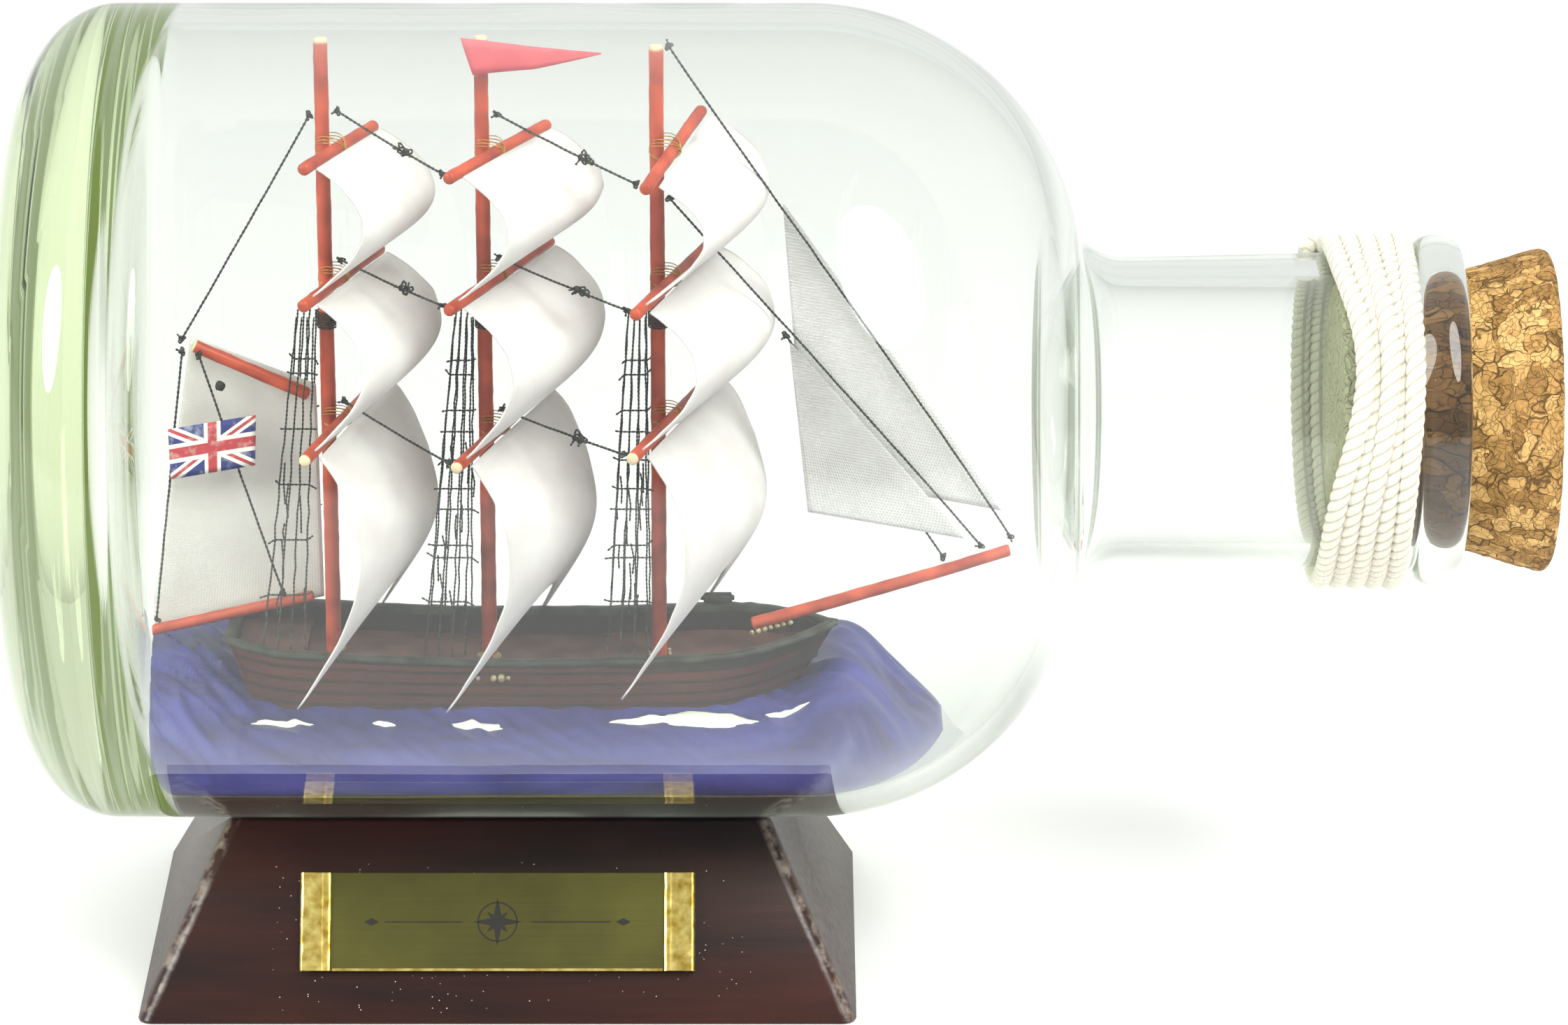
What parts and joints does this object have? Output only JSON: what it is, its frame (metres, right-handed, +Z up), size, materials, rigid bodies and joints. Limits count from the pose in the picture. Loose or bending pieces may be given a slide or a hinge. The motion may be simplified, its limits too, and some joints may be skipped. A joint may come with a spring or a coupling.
{
  "type": "ship in a bottle",
  "caption": "Square-rigged model ship on a putty sea inside a corked clear glass bottle, lying in a cradle block with a small plate.",
  "frame": {"origin": "on the table, under the middle of the whole object's length and depth", "axes": "+X along the bottle from its base to the cork, +Y away from the side with the nameplate, +Z up"},
  "size_m": [0.141, 0.075, 0.0901],
  "materials": {
    "clear_glass": "clear blown glass, faintly green where it is thick",
    "cork": "pressed cork granules, matte",
    "ivory_cotton": "twisted cotton cord",
    "mahogany_lacquer": "dark mahogany stain under satin lacquer",
    "brass": "thin brass sheet, matte field and bright folded ends",
    "blue_putty": "painted modelling putty, satin",
    "maroon_paint": "maroon brown paint on wood, matte",
    "deck_paint": "brown stain, matte",
    "black_paint": "black paint, matte",
    "red_spar_paint": "brick red paint on thin dowel",
    "white_sailcloth": "stiffened white cloth",
    "white_muslin": "open weave muslin",
    "black_thread": "twisted sewing thread",
    "red_paper": "coloured paper",
    "flag_paper": "printed paper"
  },
  "bodies": {
    "bottle_and_ship": {"boom": "red_spar_paint", "bow_fitting": "black_paint", "bowsprit": "red_spar_paint", "deck": "deck_paint", "ensign": "flag_paper", "flag_halyard": "black_thread", "fore_far_shrouds": "black_thread", "fore_lower_brace": "black_thread", "fore_lower_sail": "white_sailcloth", "fore_lower_yard": "red_spar_paint", "fore_mast": "red_spar_paint", "fore_middle_brace": "black_thread", "fore_middle_sail": "white_sailcloth", "fore_middle_yard": "red_spar_paint", "fore_near_shrouds": "black_thread", "fore_upper_brace": "black_thread", "fore_upper_sail": "white_sailcloth", "fore_upper_yard": "red_spar_paint", "gaff": "red_spar_paint", "glass_bottle": "clear_glass", "hull": "maroon_paint", "inner_forestay": "black_thread", "inner_jib": "white_muslin", "leech_line": "black_thread", "lower_forestay": "black_thread", "main_far_shrouds": "black_thread", "main_lower_brace": "black_thread", "main_lower_sail": "white_sailcloth", "main_lower_yard": "red_spar_paint", "main_mast": "red_spar_paint", "main_middle_brace": "black_thread", "main_middle_sail": "white_sailcloth", "main_middle_yard": "red_spar_paint", "main_near_shrouds": "black_thread", "main_upper_brace": "black_thread", "main_upper_sail": "white_sailcloth", "main_upper_yard": "red_spar_paint", "mizzen_backstay": "black_thread", "mizzen_far_shrouds": "black_thread", "mizzen_lower_sail": "white_sailcloth", "mizzen_lower_yard": "red_spar_paint", "mizzen_mast": "red_spar_paint", "mizzen_middle_sail": "white_sailcloth", "mizzen_middle_yard": "red_spar_paint", "mizzen_near_shrouds": "black_thread", "mizzen_upper_sail": "white_sailcloth", "mizzen_upper_yard": "red_spar_paint", "nameplate": "brass", "neck_cord": "ivory_cotton", "outer_forestay": "black_thread", "outer_jib": "white_muslin", "pennant": "red_paper", "sea": "blue_putty", "spanker": "white_sailcloth", "stand_block": "mahogany_lacquer"},
    "cork": {"cork_stopper": "cork"}
  },
  "joints": [
    {"name": "cork_slide", "type": "slide", "parent": "bottle_and_ship", "child": "cork", "axis": [1, 0, 0], "range_m": [0, 0.025]}
  ]
}
